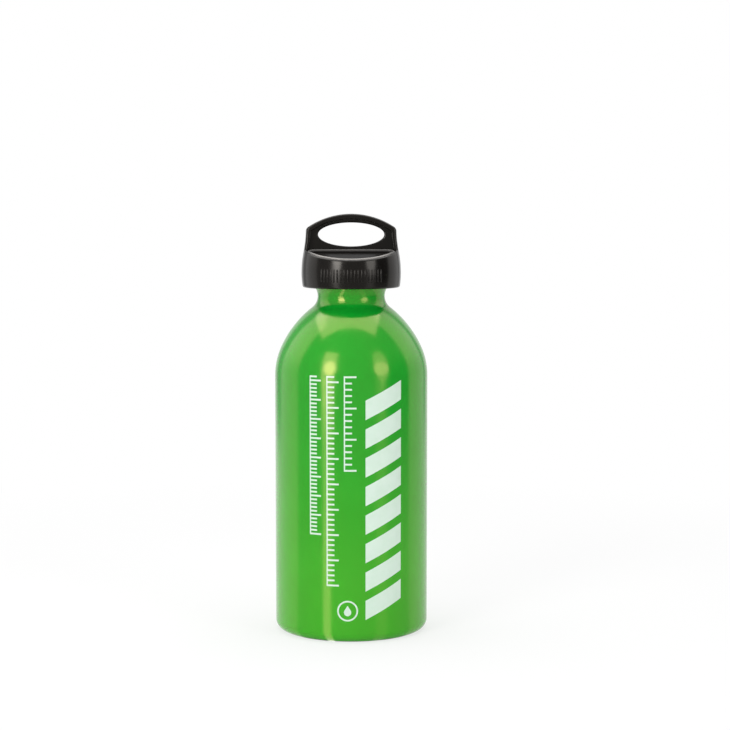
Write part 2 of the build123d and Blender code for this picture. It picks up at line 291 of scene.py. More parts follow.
def ribsTree():
    # rounded upright ribs in a row, half sunk in a wall
    tree, given = newGeometryTree("gripRibs", {
        "Count": "count", "Pitch": "number", "Width": "number", "Length": "number", "Raised": "number",
        "Middle Height": "number", "Start": "number", "Segments": "count", "Rings": "count", **wallInputs,
        "Material": "material"})
    count, half = given["Count"], given["Width"] / 2
    ball = count.add("GeometryNodeMeshUVSphere", {}, {
        "Segments": given["Segments"], "Rings": given["Rings"], "Radius": 1.0})
    laid = ball.add("GeometryNodeTransform", {}, {"Geometry": ball, "Rotation": (-pi / 2, 0, 0)})
    shape = count.joined(half, half, given["Raised"])
    small = laid.add("GeometryNodeTransform", {}, {"Geometry": laid, "Scale": shape})
    side = position(count).part(1)
    offMiddle = side.maths("ABSOLUTE").maths("GREATER_THAN", mergeReach)
    pull = side.maths("SIGN") * offMiddle * (given["Length"] / 2 - half)
    rib = moved(small, Offset=count.joined(0, pull, 0))
    start = count.joined(given["Start"], given["Middle Height"], 0)
    row = rowOf(rib, count, start, count.joined(given["Pitch"], 0, 0))
    real = row.add("GeometryNodeRealizeInstances", {}, {"Geometry": row})
    closeGeometryTree(tree, wrapRound(real, given), given["Material"])
    return tree


# Materials. A noise is given as its scale and detail, a ramp as the noise's two values and what they give
# where that isn't none and one, and a relief as the bump's strength and its depth in millimetres.

def newMaterial(name):
    material = bpy.data.materials.new(name)
    material.use_nodes = True
    material.node_tree.nodes.clear()
    tree = material.node_tree
    place = addNode(tree, "ShaderNodeTexCoord", {}, {}, 3)  # Object coordinates
    return material, tree, place


def showSurface(tree, surface, kind="ShaderNodeOutputMaterial"):
    end = tree.nodes.new(kind)
    tree.links.new(surface.socket, end.inputs["Surface"])


def finishMaterial(tree, sockets, height, strength, depth):
    bump = {"Strength": strength, "Distance": depth * mm, "Height": height}
    sockets["Normal"] = addNode(tree, "ShaderNodeBump", {}, bump)
    showSurface(tree, addNode(tree, "ShaderNodeBsdfPrincipled", {}, sockets))


def noise(place, scale, detail):
    return place.add("ShaderNodeTexNoise", {}, {"Vector": place, "Scale": scale, "Detail": detail})


lacquerLook = {
    "green": (0.0055, 0.348, 0.0235, 1), "deepGreen": (0.0045, 0.332, 0.0215, 1),
    # painted light: the foot greens make the lacquer lighter and warmer towards the foot, darker up the wall
    "paintedLightFootGreen": (0.022, 0.402, 0.0165, 1), "paintedLightDeepFootGreen": (0.020, 0.384, 0.0150, 1),
    "paintedLightFrom": 5.0, "paintedLightTo": 125.0, "cloud": (35.0, 2.0), "cloudRamp": (0.35, 0.65),
    "smears": (120.0, 3.0), "smearRamp": (0.3, 0.7, 0.12, 0.18),
    "peel": (750.0, 1.0), "peelShare": 0.8, "dust": (9000.0, 1.0), "dustShare": 0.05, "relief": (0.06, 0.05),
    "refraction": 1.5, "shine": 1.0, "shineTint": (1.0, 0.72, 0.30, 1)}
rubbedLook = {"from": 0.01, "to": 0.12, "level": 0.55, "grain": (2200.0, 4.0), "grainRamp": (0.42, 0.66),
              "rougher": 0.2, "metal": (0.80, 0.81, 0.82, 1)}


def makeLacquer():
    look, rub = lacquerLook, rubbedLook
    material, tree, place = newMaterial("greenLacquer")
    cloud = noise(place, *look["cloud"]).ramp(*look["cloudRamp"])
    height = place.part(2)
    upper = cloud.blend(look["green"], look["deepGreen"])
    # painted light: the green is lighter and warmer towards the foot, darker up the wall towards the shoulder
    paintedLightLower = cloud.blend(look["paintedLightFootGreen"], look["paintedLightDeepFootGreen"])
    green = height.ramp(look["paintedLightFrom"] * mm, look["paintedLightTo"] * mm).blend(paintedLightLower, upper)
    # the foot ring is rubbed where it stands
    rubbed = height.ramp(rub["from"] * mm, rub["to"] * mm, rub["level"], 0.0)
    rubbed = rubbed * noise(place, *rub["grain"]).ramp(*rub["grainRamp"])
    relief = noise(place, *look["peel"]) * look["peelShare"] + noise(place, *look["dust"]) * look["dustShare"]
    finishMaterial(tree, {
        "Base Color": rubbed.blend(green, rub["metal"]),
        "Metallic": rubbed,
        "Roughness": noise(place, *look["smears"]).ramp(*look["smearRamp"]) + rubbed * rub["rougher"],
        "IOR": look["refraction"], "Specular IOR Level": look["shine"], "Specular Tint": look["shineTint"],
    }, relief, *look["relief"])
    return material


bareMetalLook = {"bright": (0.78, 0.79, 0.80, 1), "dull": (0.68, 0.69, 0.70, 1), "cloud": (90.0, 3.0),
                 "cloudRamp": (0.3, 0.7), "turning": (5200.0, 2.0), "turningRamp": (0.3, 0.7, 0.24, 0.38),
                 "drift": 0.02, "relief": (0.12, 0.02)}


def makeBareMetal():
    look = bareMetalLook
    material, tree, place = newMaterial("bareAluminium")
    # turning marks read the distance from the axis and the height, and drift a little across
    around = place.vector("MULTIPLY", (1.0, 1.0, 0.0)).length()
    turned = noise(place.joined(around, place.part(2), place.part(0) * look["drift"]), *look["turning"])
    cloud = noise(place, *look["cloud"]).ramp(*look["cloudRamp"])
    finishMaterial(tree, {
        "Base Color": cloud.blend(look["bright"], look["dull"]),
        "Metallic": 1.0,
        "Roughness": turned.ramp(*look["turningRamp"]),
    }, turned, *look["relief"])
    return material


plasticLook = {"cloud": (60.0, 3.0), "cloudRamp": (0.35, 0.65), "patchRamp": (0.4, 0.7, 0.0, 0.03),
               "grainDetail": 2.0, "grainEnds": (0.3, 0.7), "smoother": 0.04, "rougher": 0.05,
               "coarseScale": 0.25, "coarseDetail": 1.0, "coarseShare": 0.5,
               "refraction": 1.41, "shineTint": (1.0, 0.95, 0.88, 1)}
plasticKinds = {
    "capPlastic": {"light": (0.0042, 0.0034, 0.0028, 1), "dark": (0.0030, 0.0025, 0.0021, 1),
                   "roughness": 0.17, "grain": 5200.0, "relief": (0.25, 0.008)},
    # the bead is the cap's black plastic painted lighter, a painted highlight all along it
    "beadPlasticPaintedHighlight": {"light": (0.105, 0.101, 0.097, 1), "dark": (0.085, 0.082, 0.079, 1),
                    "roughness": 0.14, "grain": 5200.0, "relief": (0.25, 0.008),
                    "paintedHighlight": (0.30, 0.285, 0.27, 1), "highlightFrom": 9.0, "highlightTo": 18.0},
    "plugPlastic": {"light": (0.030, 0.030, 0.031, 1), "dark": (0.022, 0.022, 0.023, 1),
                    "roughness": 0.42, "grain": 4200.0, "relief": (0.25, 0.02)},
}


def makePlastic(name):
    look, kind = plasticLook, plasticKinds[name]
    material, tree, place = newMaterial(name)
    fine = noise(place, kind["grain"], look["grainDetail"])
    coarse = noise(place, kind["grain"] * look["coarseScale"], look["coarseDetail"])
    cloud = noise(place, *look["cloud"])
    color = cloud.ramp(*look["cloudRamp"]).blend(kind["dark"], kind["light"])
    if "paintedHighlight" in kind:  # painted highlight: paler away from the middle, on the bead's front and back arcs
        fromMiddle = place.part(1).maths("ABSOLUTE")
        color = fromMiddle.ramp(kind["highlightFrom"] * mm, kind["highlightTo"] * mm).blend(color, kind["paintedHighlight"])
    smoothest, roughest = kind["roughness"] - look["smoother"], kind["roughness"] + look["rougher"]
    finishMaterial(tree, {
        "Base Color": color,
        "Roughness": fine.ramp(*look["grainEnds"], smoothest, roughest) + cloud.ramp(*look["patchRamp"]),
        "IOR": look["refraction"], "Specular Tint": look["shineTint"],
    }, fine + coarse * look["coarseShare"], *kind["relief"])
    return material


def makePlain(name, look):
    # a grain, stretched if the look says so, gives the roughness and the relief, and the colour too where
    # there are no clouds for that
    material, tree, place = newMaterial(name)
    grainPlace = place.vector("MULTIPLY", look["stretch"]) if "stretch" in look else place
    grain = noise(grainPlace, *look["grain"])
    cloud = noise(place, *look["cloud"]) if "cloud" in look else grain
    finishMaterial(tree, {
        "Base Color": cloud.ramp(*look["colorEnds"]).blend(look["first"], look["second"]),
        "Metallic": look["metallic"],
        "Roughness": grain.ramp(*look["roughRamp"]),
    }, grain, *look["relief"])
    return material


rubberLook = {"first": (0.018, 0.018, 0.018, 1), "second": (0.035, 0.035, 0.034, 1), "metallic": 0.0,
              "grain": (3500.0, 3.0), "colorEnds": (0.35, 0.7), "roughRamp": (0.3, 0.7, 0.62, 0.8),
              "relief": (0.3, 0.02)}
springLook = {"first": (0.50, 0.50, 0.51, 1), "second": (0.66, 0.66, 0.66, 1), "metallic": 1.0,
              "grain": (1500.0, 3.0), "colorEnds": (0.3, 0.7), "roughRamp": (0.3, 0.7, 0.22, 0.36),
              "relief": (0.15, 0.01), "stretch": (1.0, 1.0, 9.0)}
inkLook = {"first": (0.65, 0.79, 0.685, 1), "second": (0.62, 0.775, 0.655, 1), "metallic": 0.0,
           "grain": (5000.0, 2.0), "cloud": (250.0, 3.0), "colorEnds": (0.35, 0.75),
           "roughRamp": (0.3, 0.7, 0.3, 0.42), "relief": (0.15, 0.01)}

lacquer, bareMetal = makeLacquer(), makeBareMetal()
capPlastic, beadPlasticPaintedHighlight, plugPlastic = [makePlastic(name) for name in plasticKinds]
sealRubber = makePlain("sealRubber", rubberLook)
springSteel = makePlain("springSteel", springLook)
whiteInk = makePlain("whiteInk", inkLook)
print("stage: materials made")


# Bottle. The steps are the degrees between two rings of an arc.

bottleSizes = {"bodyR": 37.0, "wall": 0.9, "baseCornerR": 4.9, "footInR": 27.0, "footRound": 0.8,
               "domeRise": 5.5, "shoulderZ": 124.4, "shoulderR": 33.6, "turnShare": 0.434, "neckZ": 162.9,
               "waistR": 16.25, "grooveR": 7.0, "flare": 27.7, "collarR": 17.8, "mouthZ": 170.4,
               "boreR": 14.3, "boreFootZ": 158.4, "lipRound": 0.8, "lipChamfer": 0.6, "edgeRound": 0.2,
               "segments": 288, "wallRings": 24, "barePoints": 8, "domeStep": 1.0, "baseCornerStep": 4,
               "grooveStep": 3, "innerCrownStep": 2.5, "innerShoulderStep": 3, "innerCornerStep": 9}
roundingStep = 9


def arc(centre, radius, fromAngle, toAngle, step=1.5):
    # points of an arc, angles in degrees, ends included
    count = max(2, round(abs(toAngle - fromAngle) / step))
    angles = [radians(fromAngle + (toAngle - fromAngle) * place / count) for place in range(count + 1)]
    return [(centre[0] + radius * cos(a), centre[1] + radius * sin(a)) for a in angles]


def rounded(points, radii):
    # a line through points, with each inner corner rounded
    line = [points[0]]
    for before, corner, after, radius in zip(points, points[1:], points[2:], radii):
        inX, inY = before[0] - corner[0], before[1] - corner[1]
        outX, outY = after[0] - corner[0], after[1] - corner[1]
        inL, outL = hypot(inX, inY), hypot(outX, outY)
        inX, inY, outX, outY = inX / inL, inY / inL, outX / outL, outY / outL
        half = atan2(abs(inX * outY - inY * outX), inX * outX + inY * outY) / 2
        midX, midY = inX + outX, inY + outY
        away = radius / sin(half) / hypot(midX, midY)
        centre = (corner[0] + midX * away, corner[1] + midY * away)
        reach = radius / tan(half)
        start = (corner[0] + inX * reach, corner[1] + inY * reach)
        end = (corner[0] + outX * reach, corner[1] + outY * reach)
        a = degrees(atan2(start[1] - centre[1], start[0] - centre[0]))
        b = degrees(atan2(end[1] - centre[1], end[0] - centre[0]))
        turn = (b - a + 180) % 360 - 180
        line += arc(centre, radius, a, a + turn, roundingStep)
    return line + [points[-1]]


def dome(rise, footR, lift):
    # from the axis to the foot, along an arc that is level at the axis
    radius = (footR**2 + rise**2) / (2 * rise)
    reach = degrees(atan2(footR, radius - rise))
    line = arc((0, rise - radius), radius, 90, 90 - reach, bottleSizes["domeStep"])
    return [(x, y + lift) for x, y in line]


def bottleProfile():
    s = bottleSizes
    shoulderX, footCornerX = s["bodyR"] - s["shoulderR"], s["bodyR"] - s["baseCornerR"]
    grooveX = s["waistR"] + s["grooveR"]
    # the crown arc touches the shoulder arc and the neck's groove
    turn = s["turnShare"] * 2 * atan2(s["bodyR"] - s["waistR"], s["neckZ"] - s["shoulderZ"])
    firstX = shoulderX + s["shoulderR"] * cos(turn)
    firstZ = s["shoulderZ"] + s["shoulderR"] * sin(turn)
    offX, offZ = firstX - grooveX, firstZ - s["neckZ"]
    along = offX * cos(turn) + offZ * sin(turn)
    crownR = (offX**2 + offZ**2 - s["grooveR"]**2) / (2 * (along + s["grooveR"]))
    crownX, crownZ = firstX - crownR * cos(turn), firstZ - crownR * sin(turn)
    neckTurn = degrees(atan2(s["neckZ"] - crownZ, grooveX - crownX))
    # outside, from the middle of the base up to the lip
    base = dome(s["domeRise"], s["footInR"], 0)
    foot = rounded([base[-2], base[-1], (footCornerX, 0)], [s["footRound"]])
    outside = base[:-2] + foot[:-1]
    outside += arc((footCornerX, s["baseCornerR"]), s["baseCornerR"], -90, 0, s["baseCornerStep"])
    wallRise = (s["shoulderZ"] - s["baseCornerR"]) / s["wallRings"]
    outside += [(s["bodyR"], s["baseCornerR"] + wallRise * place) for place in range(1, s["wallRings"])]
    outside += arc((shoulderX, s["shoulderZ"]), s["shoulderR"], 0, degrees(turn))
    outside += arc((crownX, crownZ), crownR, degrees(turn), neckTurn)[1:]
    waist = arc((grooveX, s["neckZ"]), s["grooveR"], 180 + neckTurn, 180 - s["flare"], s["grooveStep"])
    outside += waist[1:]
    flareEnd = waist[-1]
    collarZ = flareEnd[1] + (s["collarR"] - flareEnd[0]) / tan(radians(s["flare"]))
    lip = rounded(
        [flareEnd, (s["collarR"], collarZ), (s["collarR"], s["mouthZ"]),
         (s["boreR"] + s["lipChamfer"], s["mouthZ"]), (s["boreR"], s["mouthZ"] - s["lipChamfer"]),
         (s["boreR"], s["boreFootZ"])],
        [s["lipRound"], s["lipRound"], s["edgeRound"], s["edgeRound"]])
    outside += lip[1:-s["barePoints"]]  # the paint ends on the lip
    # inside, from the bore's foot along one arc to the lower shoulder arc, then down the wall to the base
    innerR = s["shoulderR"] - s["wall"]
    startX, startZ = shoulderX + innerR * cos(turn), s["shoulderZ"] + innerR * sin(turn)
    gapX, gapZ = s["boreR"] - startX, s["boreFootZ"] - startZ
    innerCrownR = (gapX**2 + gapZ**2) / (-2 * (gapX * cos(turn) + gapZ * sin(turn)))
    centreX, centreZ = startX - innerCrownR * cos(turn), startZ - innerCrownR * sin(turn)
    endTurn = degrees(atan2(s["boreFootZ"] - centreZ, s["boreR"] - centreX))
    inside = lip[-s["barePoints"]:]
    inside += arc((centreX, centreZ), innerCrownR, endTurn, degrees(turn), s["innerCrownStep"])[1:]
    inside += arc((shoulderX, s["shoulderZ"]), innerR, degrees(turn), 0, s["innerShoulderStep"])[1:]
    innerCornerR = s["baseCornerR"] - s["wall"]
    inside += arc((footCornerX, s["baseCornerR"]), innerCornerR, 0, -90, s["innerCornerStep"])
    innerFootR = sqrt(s["footInR"]**2 + 2 * s["wall"] * s["domeRise"])
    inside += reversed(dome(s["domeRise"], innerFootR, s["wall"]))
    return outside, inside


def profileMesh(name, points):
    mesh = bpy.data.meshes.new(name)
    edges = [(n, n + 1) for n in range(len(points) - 1)]
    mesh.from_pydata([(x * mm, 0, z * mm) for x, z in points], edges, [])
    return mesh


def turnedTree():
    # a profile turned round the axis; its rings after Painted get the second material
    tree, given = newGeometryTree("turnedForm", {
        "Profile": "geometry", "Points": "count", "Segments": "count", "Painted": "count",
        "Outside": "material", "Inside": "material"})
    points, segments = given["Points"], given["Segments"]
    grid, column, spot = sweptGrid(given["Profile"], points, segments + 1)
    angle = column / segments * (2 * pi)
    acrossX, acrossY = spot.part(0) * angle.maths("SINE"), spot.part(0) * angle.maths("COSINE") * -1
    turned = moved(grid, Position=grid.joined(acrossX, acrossY, spot.part(2)))
    index = grid.add("GeometryNodeInputIndex", {}, {})
    faceRow = index - (index / (points - 1)).maths("FLOOR") * (points - 1)
    painted = turned.add("GeometryNodeSetMaterial", {}, {"Geometry": turned, "Material": given["Outside"]})
    bare = painted.add("GeometryNodeSetMaterial", {}, {
        "Geometry": painted, "Selection": faceRow.maths("GREATER_THAN", given["Painted"]),
        "Material": given["Inside"]})
    closeGeometryTree(tree, merged(bare))
    return tree


outside, inside = bottleProfile()
profile = outside + inside
bottleBody = grow("bottleBody", turnedTree(), {
    "Points": len(profile), "Segments": bottleSizes["segments"], "Painted": len(outside),
    "Outside": lacquer, "Inside": bareMetal}, profileMesh("bottleProfile", profile))
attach(bottleBody, "bottle")
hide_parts("bottle_shell")
print("stage: bottle made,", len(bottleBody.data.polygons), "faces")

for node, material in (("outer_cap", capPlastic), ("threaded_plug", plugPlastic), ("mouth_seal", sealRubber)):
    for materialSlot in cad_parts[node].material_slots:
        materialSlot.material = material


# Threads of neck and plug, half a pitch apart. A form is half its width at the root, at the start and at the
# end of the tip's rounding, and that rounding's depth.

threadSizes = {"pitch": 4.0, "neckR": 14.3, "neckDepth": 1.3, "neckStart": 160.7, "neckTurns": 1.725,
               "neckForm": (0.8, 0.5, 0.3, 0.2), "plugR": 12.7, "plugHeight": 1.2, "plugStart": 159.8,
               "plugForm": (1.0, 0.52, 0.25, 0.2), "halfTurns": 4, "slotTurn": 0.022, "sunk": 0.15,
               "neckColumns": 150, "neckEnd": 12, "plugColumns": 44, "plugEnd": 4}


def loopMesh(name, points):
    # a closed profile, its first point repeated at the end
    return profileMesh(name, points + points[:1])


coils = coiledTree()


def makeThreads():
    s = threadSizes
    # a thread keeps its pitch, and its ends aren't ground off
    free = {"Closing Share": 0.0, "Low": -1.0, "High": 1.0, "Pitch": s["pitch"] * mm, "Copy Turn": 0.5}
    depth = s["neckDepth"]
    root, tipStart, tipEnd, rounding = s["neckForm"]
    neckProfile = [(s["sunk"], -root), (s["sunk"], root), (rounding - depth, tipStart), (-depth, tipEnd),
                   (-depth, -tipEnd), (rounding - depth, -tipStart)]
    startTurn = (s["neckStart"] - s["plugStart"] - s["pitch"] / 2) / s["pitch"]
    neck = grow("neckThread", coils, {
        **free, "Points": len(neckProfile) + 1, "Columns": s["neckColumns"], "End Columns": s["neckEnd"],
        "Turns": s["neckTurns"], "Start Turn": startTurn, "Start Height": s["neckStart"] * mm,
        "Radius": s["neckR"] * mm, "Copies": 1, "Material": bareMetal},
        loopMesh("neckThreadProfile", neckProfile))
    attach(neck, "bottle")
    high = s["plugHeight"]
    root, tipStart, tipEnd, rounding = s["plugForm"]
    plugProfile = [(-s["sunk"], -root), (high - rounding, -tipStart), (high, -tipEnd), (high, tipEnd),
                   (high - rounding, tipStart), (-s["sunk"], root)]
    plug = grow("plugThread", coils, {
        **free, "Points": len(plugProfile) + 1, "Columns": s["plugColumns"], "End Columns": s["plugEnd"],
        "Turns": 0.5 - 2 * s["slotTurn"], "Start Turn": s["slotTurn"],
        "Start Height": (s["plugStart"] + s["pitch"] * s["slotTurn"]) * mm, "Radius": s["plugR"] * mm,
        "Copies": s["halfTurns"], "Material": plugPlastic}, loopMesh("plugThreadProfile", plugProfile))
    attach(plug, "plug")


makeThreads()
print("stage: threads made")


# Return spring: ground coil, its last turns wound closer

springSizes = {"coilR": 7.7, "wireR": 0.8, "turns": 5.5, "foot": 160.65, "top": 181.35, "closingShare": 0.38,
               "stroke": 1.5, "columns": 330, "sides": 20}


def makeSpring():
    s = springSizes
    side = 360 / s["sides"]
    wire = arc((0, 0), s["wireR"], 0, 360 - side, side)
    even = (s["top"] - s["foot"]) / (s["turns"] - 2 * s["closingShare"])
    spring = grow("returnSpring", coils, {
        "Points": s["sides"] + 1, "Columns": s["columns"], "End Columns": 1, "Turns": s["turns"],
        "Start Turn": 0.0, "Start Height": s["foot"] * mm, "Pitch": even * mm, "Radius": s["coilR"] * mm,
        "Closing Share": s["closingShare"], "Low": s["foot"] * mm, "High": s["top"] * mm, "Copies": 1,
        "Copy Turn": 0.5, "Material": springSteel}, loopMesh("wireProfile", wire))
    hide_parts("return_spring")
    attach(spring, "spring")
    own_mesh(spring)
    return spring


returnSpring = makeSpring()
print("stage: spring made,", len(returnSpring.data.polygons), "faces")


# Print on the bottle: plain bars, three level scales and a drop in a ring. Left, right and at are degrees
# from the front, to the right, and steps are a stripe's points across and up.

printSizes = {
    "sunk": 0.02, "raised": 0.04,
    "bars": {"left": 10.4, "right": 39.3, "foot": 15.9, "count": 8, "pitch": 13.6, "thick": 9.2, "rise": 9.0,
             "steps": (20, 8)},
    "scales": ({"left": -31.1, "foot": 51.6, "top": 127.2, "count": 42},
               {"left": -17.6, "foot": 27.4, "top": 127.2, "count": 42},
               {"left": -4.6, "foot": 82.2, "top": 127.2, "count": 16}),
    "tick": {"thick": 0.85, "short": 3.3, "long": 5.4, "longEvery": 5, "steps": (6, 2)},
    "spine": {"thick": 0.6, "lap": 0.05, "steps": (2, 48)},
    "ring": {"at": -2.8, "height": 15.7, "outer": 4.96, "stroke": 0.78, "sides": 64},
    "drop": {"r": 1.75, "tip": 3.3, "below": 0.7},
}
straight = 1000.0  # the bend of a wall that doesn't curve in
wallDegree = bottleSizes["bodyR"] * pi / 180  # millimetres of wall for a degree


def bottleWall():
    return {"Widest Radius": bottleSizes["bodyR"] * mm, "Widest Height": bottleSizes["shoulderZ"] * mm,
            "Bend Above": bottleSizes["shoulderR"] * mm, "Bend Below": straight}


def flatShell(name, outer, inner, low, high):
    # a closed sheet between two loops of as many points each
    count = len(outer)
    loops = ((outer, high), (inner, high), (inner, low), (outer, low))
    places = [(x * mm, y * mm, z * mm) for loop, z in loops for x, y in loop]
    bands = range(4) if inner[0] != inner[1] else (0, 2, 3)  # a loop drawn to a point has no wall
    faces = []
    for n in range(count):
        m = (n + 1) % count
        for band in bands:
            a, b = band * count, (band + 1) % 4 * count
            faces.append((a + n, a + m, b + m, b + n))
    mesh = bpy.data.meshes.new(name)
    mesh.from_pydata(places, [], faces)
    return mesh


def circlePoints(x, y, radius, sides):
    return [(x + radius * cos(a), y + radius * sin(a)) for a in (2 * pi * n / sides for n in range(sides))]


def makeStripes(name, ladder, steps, lengths, count=1, longEvery=1, slope=0.0):
    # one ladder of stripes, its lengths in millimetres
    lengths = {**lengths, "Sunk": printSizes["sunk"], "Raised": printSizes["raised"]}
    return grow(name, ladder, {
        **bottleWall(), **{label: value * mm for label, value in lengths.items()}, "Count": count,
        "Long Every": longEvery, "Slope": slope, "Steps Across": steps[0], "Steps Up": steps[1],
        "Material": whiteInk})


def makeScale(ladder, scale):
    tick, spine = printSizes["tick"], printSizes["spine"]
    length, left = scale["top"] - scale["foot"], scale["left"] * wallDegree
    pitch = (length - tick["thick"]) / (scale["count"] - 1)
    ticks = makeStripes("ticks", ladder, tick["steps"], {
        "Pitch": pitch, "Thick": tick["thick"], "Short": tick["short"], "Long": tick["long"], "Left": left,
        "Foot": scale["foot"] + tick["thick"] / 2}, scale["count"], tick["longEvery"])
    line = makeStripes("spine", ladder, spine["steps"], {
        "Pitch": 0.0, "Thick": length, "Short": spine["thick"], "Long": spine["thick"],
        "Left": left - spine["thick"] + spine["lap"], "Foot": scale["foot"] + length / 2})
    return [ticks, line]


def makeRingAndDrop():
    ring, drop = printSizes["ring"], printSizes["drop"]
    x, y = ring["at"] * wallDegree, ring["height"]
    outer = circlePoints(x, y, ring["outer"], ring["sides"])
    inner = circlePoints(x, y, ring["outer"] - ring["stroke"], ring["sides"])
    low = y - drop["below"]
    reach = degrees(asin(drop["r"] / drop["tip"]))  # where the drop's sides leave its round foot
    outline = arc((x, low), drop["r"], 180 - reach, 360 + reach, roundingStep) + [(x, low + drop["tip"])]
    wrap = wrappedTree()
    pieces = []
    for name, edge, middle in (("ring", outer, inner), ("drop", outline, [(x, low)] * len(outline))):
        flat = flatShell(name, edge, middle, -printSizes["sunk"], printSizes["raised"])
        pieces.append(grow(name, wrap, {**bottleWall(), "Material": whiteInk}, flat))
    return pieces


def makePrint():
    ladder, bars = stripesTree(), printSizes["bars"]
    left, width = bars["left"] * wallDegree, (bars["right"] - bars["left"]) * wallDegree
    pieces = [makeStripes("bars", ladder, bars["steps"], {
        "Pitch": bars["pitch"], "Thick": bars["thick"], "Short": width, "Long": width, "Left": left,
        "Foot": bars["foot"]}, bars["count"], 1, bars["rise"] / width)]
    for scale in printSizes["scales"]:
        pieces += makeScale(ladder, scale)
    marks = joinPieces("printedMarks", pieces + makeRingAndDrop())
    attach(marks, "bottle")
    return marks


printedMarks = makePrint()
print("stage: print made,", len(printedMarks.data.polygons), "faces")


# Raised bead round both roof recesses of the cap

beadSizes = {"roundR": 21.9, "straightY": 5.4, "cornerR": 2.5, "faceY": 4.5, "roofZ": 185.3, "tilt": 13.5,
             "thickness": 0.68, "sunk": 0.14, "sides": 16, "roundStep": 3, "cornerStep": 10,
             "straightSteps": 24}


def roofLoop(side):
    # the bead's line on one roof face, a D with rounded corners
    s = beadSizes
    centreY = s["straightY"] + s["cornerR"]
    centreX = sqrt((s["roundR"] - s["cornerR"])**2 - centreY**2)
    lean = degrees(atan2(centreY, centreX))
    shares = [1 - 2 * n / s["straightSteps"] for n in range(1, s["straightSteps"])]
    line = arc((0, 0), s["roundR"], lean, 180 - lean, s["roundStep"])
    line += arc((-centreX, centreY), s["cornerR"], 180 - lean, 270, s["cornerStep"])[1:]
    line += [(-centreX * share, s["straightY"]) for share in shares]
    line += arc((centreX, centreY), s["cornerR"], -90, lean, s["cornerStep"])[:-1]
    drop = tan(radians(s["tilt"]))
    return [(x, side * y, s["roofZ"] - s["sunk"] - (y - s["faceY"]) * drop) for x, y in line]


def makeBeads():
    s = beadSizes
    tree, given = newGeometryTree("raisedBead", {
        "Path": "geometry", "Thickness": "number", "Sides": "count", "Material": "material"})
    path = given["Path"].add("GeometryNodeMeshToCurve", {}, {"Mesh": given["Path"]})
    circle = path.add("GeometryNodeCurvePrimitiveCircle", {}, {
        "Resolution": given["Sides"], "Radius": given["Thickness"]})
    bead = path.add("GeometryNodeCurveToMesh", {}, {"Curve": path, "Profile Curve": circle})
    closeGeometryTree(tree, bead, given["Material"])
    front, rear = roofLoop(-1), roofLoop(1)
    count = len(front)
    edges = [(first + n, first + (n + 1) % count) for first in (0, count) for n in range(count)]
    mesh = bpy.data.meshes.new("beadPath")
    mesh.from_pydata([(x * mm, y * mm, z * mm) for x, y, z in front + rear], edges, [])
    beads = grow("roofBeads", tree, {
        "Thickness": s["thickness"] * mm, "Sides": s["sides"], "Material": beadPlasticPaintedHighlight}, mesh)
    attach(beads, "cap")
    return beads


roofBeads = makeBeads()
print("stage: beads made,", len(roofBeads.data.polygons), "faces")


# Grip ribs on the cap's skirt, front and back. The span is in degrees.

ribSizes = {"widestR": 24.07, "widestZ": 174.0, "bendAbove": 53.03, "bendBelow": 42.05, "count": 19,
            "span": 72.0, "width": 0.85, "length": 6.2, "raised": 0.3, "middle": 173.4, "segments": 16,
            "rings": 10}


def makeRibs():
    s = ribSizes
    skirtDegree = s["widestR"] * pi / 180  # millimetres of skirt for a degree
    tree = ribsTree()
    values = {
        "Widest Radius": s["widestR"] * mm, "Widest Height": s["widestZ"] * mm,
        "Bend Above": s["bendAbove"] * mm, "Bend Below": s["bendBelow"] * mm, "Count": s["count"],
        "Pitch": s["span"] / (s["count"] - 1) * skirtDegree * mm, "Width": s["width"] * mm,
        "Length": s["length"] * mm, "Raised": s["raised"] * mm, "Middle Height": s["middle"] * mm,
        "Segments": s["segments"], "Rings": s["rings"], "Material": capPlastic}
    starts = [(side - s["span"] / 2) * skirtDegree * mm for side in (0, 180)]
    ribs = joinPieces("gripRibs", [grow("ribs", tree, {**values, "Start": start}) for start in starts])
    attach(ribs, "cap")
    return ribs


gripRibs = makeRibs()
print("stage: ribs made,", len(gripRibs.data.polygons), "faces")


# What polished faces mirror: a dim front, a bright panel at each side, a dark gap and a white back. Bearings
# and rises are degrees from straight ahead and from level. The right panel starts and ends shift degrees
# further back than the numbers say, the left one as much less.

mirrorSizes = {"diffuse": 0.35, "front": 0.42, "panelFrom": 92, "panelTo": 136, "shift": 4.5, "edge": 7,
               "panelTop": 60, "panelLow": 0.67, "panelHigh": 1.3, "panelRise": 26, "rightLoss": 0.28,
               "flagFrom": 50, "flagEdge": 30, "flagLow": 0.32, "flagHigh": 0.1, "flagRise": 40,
               "backFrom": 150, "back": 0.5, "roofFrom": 165, "roofRise": 17, "roofEdge": 8, "roof": 0.62}


def edge(angle, at, width):
    # goes from none to one round an angle in degrees
    return angle.ramp(radians(at - width / 2), radians(at + width / 2))


